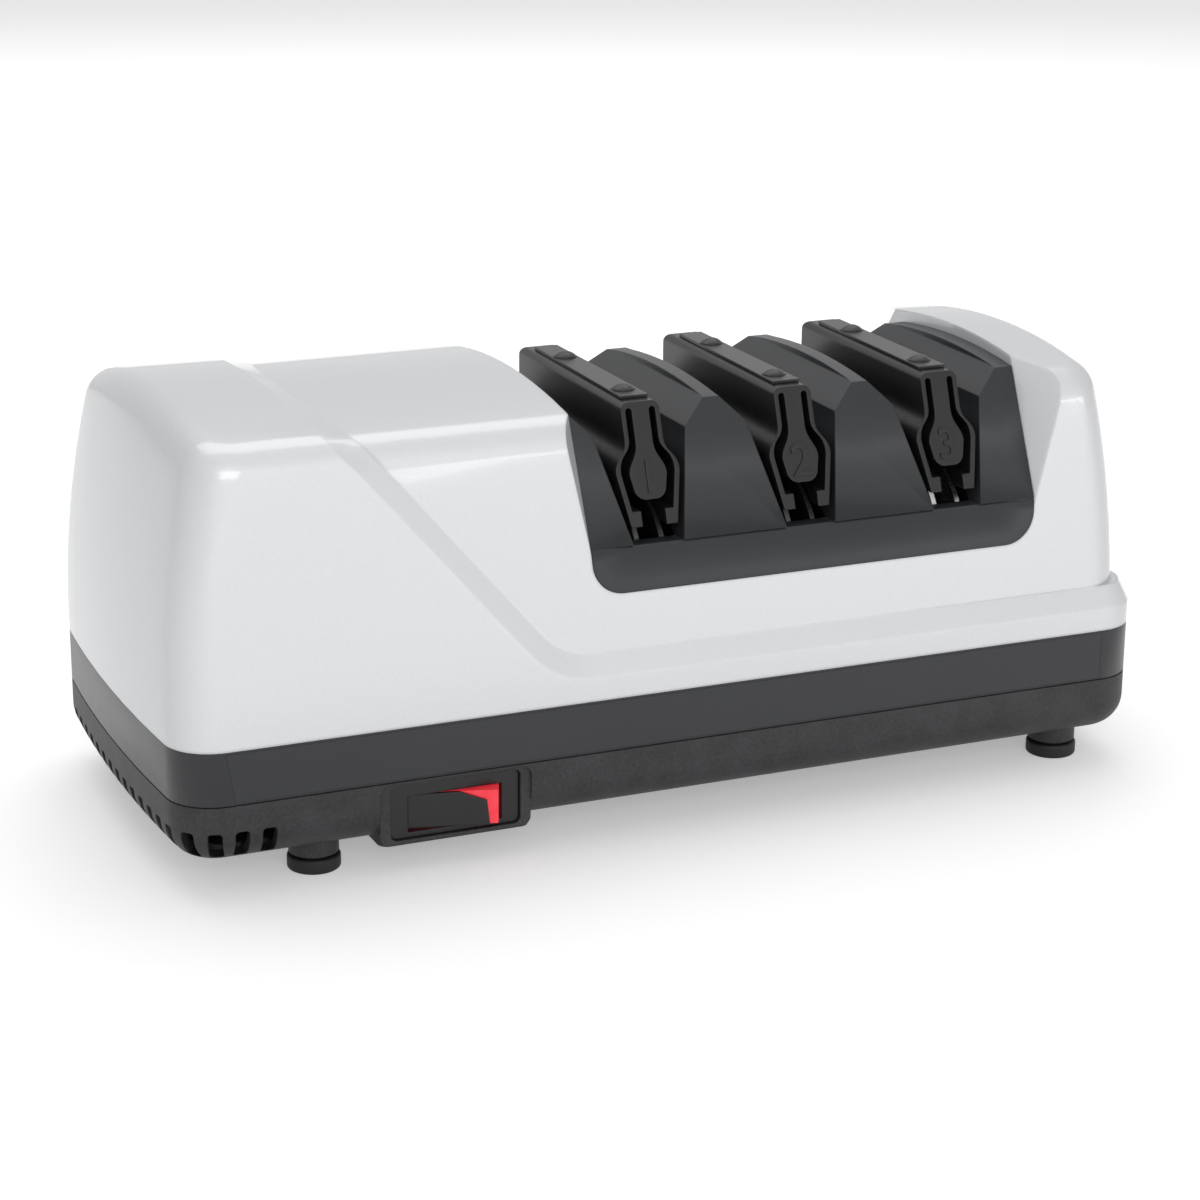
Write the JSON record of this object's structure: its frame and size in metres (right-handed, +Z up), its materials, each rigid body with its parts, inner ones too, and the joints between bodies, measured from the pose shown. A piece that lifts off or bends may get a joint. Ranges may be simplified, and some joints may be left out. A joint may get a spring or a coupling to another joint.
{
  "type": "electric knife sharpener",
  "caption": "Bench knife sharpener: motor-driven sprung sharpening discs under slotted blade guides, in a long rounded housing with a rocker switch.",
  "frame": {"origin": "centre of the bounding box's bottom face, on the surface the feet stand on", "axes": "+X along the length, from the motor end to the end with the last slot; +Y to the back; +Z up"},
  "size_m": [0.254, 0.1117, 0.108],
  "materials": {
    "pearl_paint": "pearl silver paint on a moulded housing, satin",
    "band_plastic": "dark grey ABS, smooth",
    "base_plastic": "dark grey ABS with a fine spark texture",
    "module_plastic": "dark grey ABS, satin",
    "guide_plastic": "near-black acetal, satin",
    "pin_plastic": "black nylon drive rivets",
    "foot_rubber": "black rubber",
    "screw_steel": "zinc plated steel",
    "shaft_steel": "ground steel",
    "disc_steel": "steel cup coated with fine abrasive",
    "lamination_steel": "varnished motor laminations",
    "bobbin_nylon": "natural nylon",
    "copper_winding": "enamelled copper wire, taped",
    "fan_plastic": "black nylon",
    "bracket_steel": "die cast aluminium",
    "bush_bronze": "sintered bronze",
    "switch_plastic": "black nylon",
    "rocker_plastic": "near-black nylon",
    "red_plastic": "red acrylic indicator end",
    "terminal_brass": "tinned brass",
    "magnet_ferrite": "ferrite",
    "dressing_stone": "sintered dressing stone"
  },
  "bodies": {
    "root": {"base_screws": "screw_steel", "base_tray": "base_plastic", "bearing_bracket_left": "bracket_steel", "bearing_bracket_right": "bracket_steel", "blade_guide_1": "guide_plastic", "blade_guide_2": "guide_plastic", "blade_guide_3": "guide_plastic", "bush_end": "bush_bronze", "bush_left": "bush_bronze", "bush_right": "bush_bronze", "coil_bobbin": "bobbin_nylon", "end_bracket": "bracket_steel", "end_bracket_screws": "screw_steel", "guide_module": "module_plastic", "guide_pins": "pin_plastic", "guide_strip_1": "guide_plastic", "guide_strip_2": "guide_plastic", "guide_strip_3": "guide_plastic", "inlet_bush": "foot_rubber", "label_plate": "band_plastic", "lever_pin": "shaft_steel", "module_screws": "screw_steel", "motor_bolts": "screw_steel", "motor_coil": "copper_winding", "motor_mount_screws": "screw_steel", "motor_nuts": "screw_steel", "motor_stack": "lamination_steel", "rubber_feet": "foot_rubber", "switch_body": "switch_plastic", "switch_terminals": "terminal_brass", "trim_band": "band_plastic", "upper_housing": "pearl_paint"},
    "rotor": {"drive_shaft": "shaft_steel", "rotor_core": "lamination_steel", "cooling_fan": "fan_plastic", "drive_pins": "shaft_steel", "disc_spring_1": "shaft_steel", "disc_spring_2": "shaft_steel", "disc_spring_3": "shaft_steel"},
    "rocker": {"rocker_cap": "rocker_plastic", "rocker_red": "red_plastic"},
    "filings_slide": {"filings_door": "base_plastic", "filings_magnet": "magnet_ferrite"},
    "dressing_arm": {"dressing_lever": "rocker_plastic", "dressing_pad": "dressing_stone"},
    "disc_1_left_body": {"disc_1_left": "disc_steel"},
    "disc_1_right_body": {"disc_1_right": "disc_steel"},
    "disc_2_left_body": {"disc_2_left": "disc_steel"},
    "disc_2_right_body": {"disc_2_right": "disc_steel"},
    "disc_3_left_body": {"disc_3_left": "disc_steel"},
    "disc_3_right_body": {"disc_3_right": "disc_steel"}
  },
  "joints": [
    {"name": "rotor_spin", "type": "hinge", "parent": "root", "child": "rotor", "pos_m": [0, -0.027, 0.06], "axis": [1, 0, 0], "continuous": true},
    {"name": "disc_1_left_slide", "type": "slide", "parent": "rotor", "child": "disc_1_left_body", "axis": [1, 0, 0], "range_m": [0, 0.001], "stiffness_N_per_m": 400, "deforming": ["disc_spring_1"]},
    {"name": "disc_1_right_slide", "type": "slide", "parent": "rotor", "child": "disc_1_right_body", "axis": [-1, 0, 0], "range_m": [0, 0.001], "stiffness_N_per_m": 400, "deforming": ["disc_spring_1"]},
    {"name": "disc_2_left_slide", "type": "slide", "parent": "rotor", "child": "disc_2_left_body", "axis": [1, 0, 0], "range_m": [0, 0.001], "stiffness_N_per_m": 400, "deforming": ["disc_spring_2"]},
    {"name": "disc_2_right_slide", "type": "slide", "parent": "rotor", "child": "disc_2_right_body", "axis": [-1, 0, 0], "range_m": [0, 0.001], "stiffness_N_per_m": 400, "deforming": ["disc_spring_2"]},
    {"name": "disc_3_left_slide", "type": "slide", "parent": "rotor", "child": "disc_3_left_body", "axis": [1, 0, 0], "range_m": [0, 0.001], "stiffness_N_per_m": 400, "deforming": ["disc_spring_3"]},
    {"name": "disc_3_right_slide", "type": "slide", "parent": "rotor", "child": "disc_3_right_body", "axis": [-1, 0, 0], "range_m": [0, 0.001], "stiffness_N_per_m": 400, "deforming": ["disc_spring_3"]},
    {"name": "rocker_tilt", "type": "hinge", "parent": "root", "child": "rocker", "pos_m": [-0.0594, -0.0496, 0.01415], "axis": [0, 0, 1], "range_deg": [0, 28]},
    {"name": "filings_slide", "type": "slide", "parent": "root", "child": "filings_slide", "axis": [-1, 0, 0], "range_m": [0, 0.03]},
    {"name": "dressing_swing", "type": "hinge", "parent": "root", "child": "dressing_arm", "pos_m": [0.0728, 0.014, 0.0535], "axis": [0, 0, 1], "range_deg": [-6, 6]}
  ]
}
